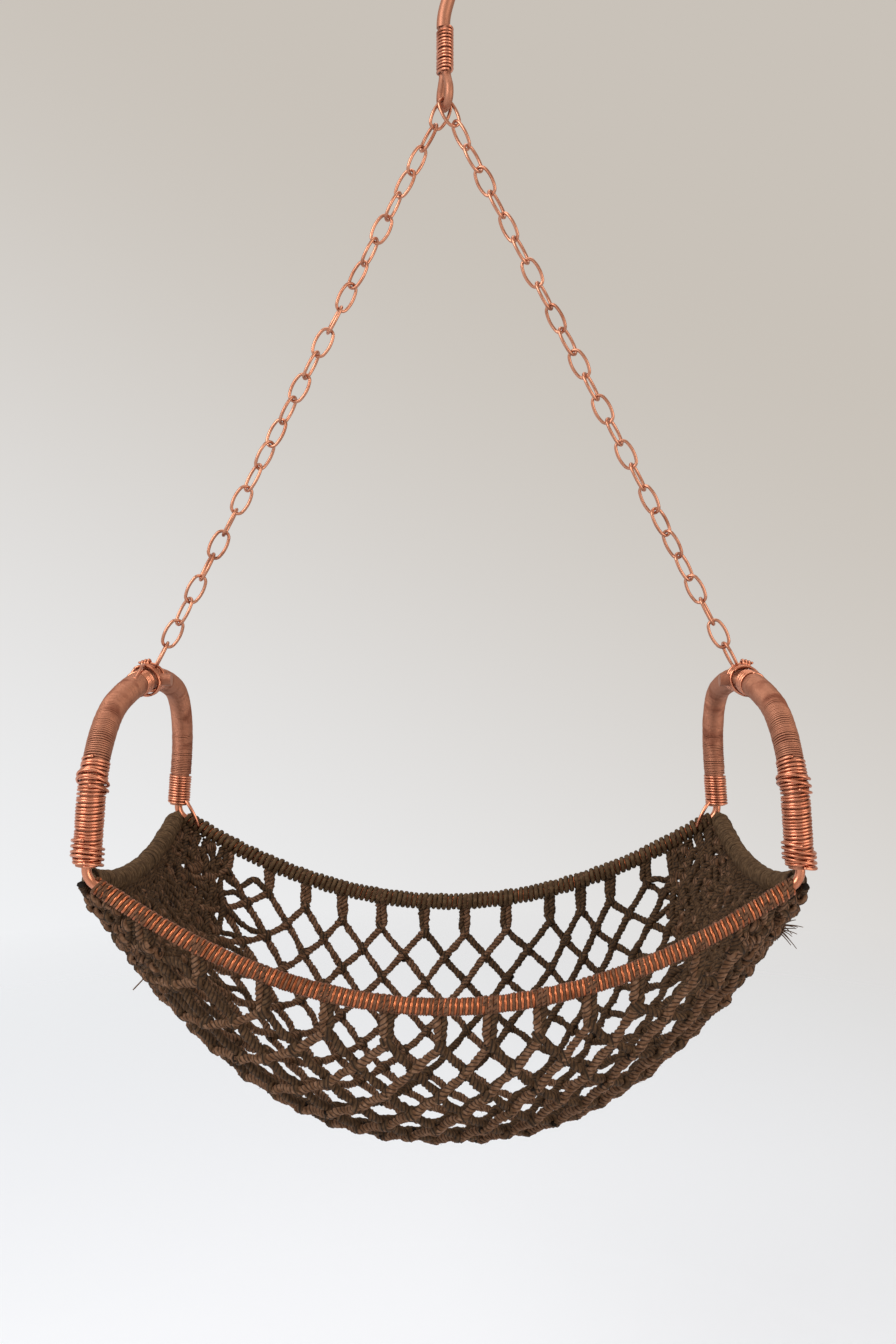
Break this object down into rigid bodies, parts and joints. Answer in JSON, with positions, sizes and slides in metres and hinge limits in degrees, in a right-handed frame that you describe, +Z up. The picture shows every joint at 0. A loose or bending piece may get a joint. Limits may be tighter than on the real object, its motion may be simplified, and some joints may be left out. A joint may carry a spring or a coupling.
{
  "type": "hanging fruit basket",
  "caption": "Cord net basket between two wire-wrapped copper handles, hung on two link chains from a bound copper crook.",
  "frame": {"origin": "the point of the crook's inside that bears on what carries the basket", "axes": "+Z up, X along the basket between its handles, -Y towards the front rim"},
  "size_m": [0.4147, 0.2483, 0.824],
  "materials": {
    "cord": "twisted dark brown cord",
    "bright_copper": "bright drawn copper wire",
    "chain_copper": "bent copper wire links",
    "matte_copper": "matte copper under fine wire",
    "rail_rod": "bare cane"
  },
  "bodies": {
    "hanger": {"hanger_rod": "matte_copper", "hanger_sleeve": "matte_copper", "hanger_binding": "bright_copper"},
    "chain_1": {"chain_links_01": "chain_copper", "chain_links_02": "chain_copper", "chain_links_03": "chain_copper", "chain_links_04": "chain_copper", "chain_links_05": "chain_copper"},
    "chain_2": {"chain_links_06": "chain_copper", "chain_links_07": "chain_copper", "chain_links_08": "chain_copper", "chain_links_09": "chain_copper", "chain_links_10": "chain_copper"},
    "chain_3": {"chain_links_11": "chain_copper", "chain_links_12": "chain_copper", "chain_links_13": "chain_copper", "chain_links_14": "chain_copper", "chain_links_15": "chain_copper"},
    "chain_4": {"chain_links_16": "chain_copper", "chain_links_17": "chain_copper", "chain_links_18": "chain_copper", "chain_links_19": "chain_copper", "chain_links_20": "chain_copper"},
    "chain_5": {"chain_links_21": "chain_copper", "chain_links_22": "chain_copper", "chain_links_23": "chain_copper", "chain_links_24": "chain_copper", "chain_links_25": "chain_copper"},
    "basket": {"back_rim_rod": "bright_copper", "back_rim_wrap": "cord", "front_rim_rod": "bright_copper", "front_rim_wrap": "cord", "left_back_foot_binding": "bright_copper", "left_chain_loop": "bright_copper", "left_front_foot_binding": "bright_copper", "left_handle_back_rod": "matte_copper", "left_handle_back_wrap": "matte_copper", "left_handle_front_rod": "matte_copper", "left_handle_front_wrap": "matte_copper", "left_net_gather": "cord", "left_rail_rod": "rail_rod", "left_rail_wrap": "cord", "left_top_lashing": "bright_copper", "net_body": "cord", "right_back_foot_binding": "bright_copper", "right_chain_loop": "bright_copper", "right_front_foot_binding": "bright_copper", "right_handle_back_rod": "matte_copper", "right_handle_back_wrap": "matte_copper", "right_handle_front_rod": "matte_copper", "right_handle_front_wrap": "matte_copper", "right_net_gather": "cord", "right_rail_rod": "rail_rod", "right_rail_wrap": "cord", "right_top_lashing": "bright_copper"}
  },
  "joints": [
    {"name": "side_swing", "type": "hinge", "parent": "hanger", "child": "chain_1", "pos_m": [0, 0, -0.1651], "axis": [0, 1, 0], "range_deg": [-20, 20]},
    {"name": "chain_pivot_2", "type": "hinge", "parent": "chain_1", "child": "chain_2", "pos_m": [0, 0, -0.23205], "axis": [0.9989, -0.0471, 0], "range_deg": [-25, 25]},
    {"name": "chain_pivot_3", "type": "hinge", "parent": "chain_2", "child": "chain_3", "pos_m": [0, 0, -0.3044], "axis": [-0.9998, 0.0173, 0], "range_deg": [-25, 25]},
    {"name": "chain_pivot_4", "type": "hinge", "parent": "chain_3", "child": "chain_4", "pos_m": [0, 0, -0.37639], "axis": [1, -0.0078, 0], "range_deg": [-25, 25]},
    {"name": "chain_pivot_5", "type": "hinge", "parent": "chain_4", "child": "chain_5", "pos_m": [0, 0, -0.44856], "axis": [-1, 0.003, 0], "range_deg": [-25, 25]},
    {"name": "basket_tilt", "type": "hinge", "parent": "chain_5", "child": "basket", "pos_m": [0, 0, -0.51985], "axis": [-1, 0, 0], "range_deg": [-25, 25]}
  ]
}
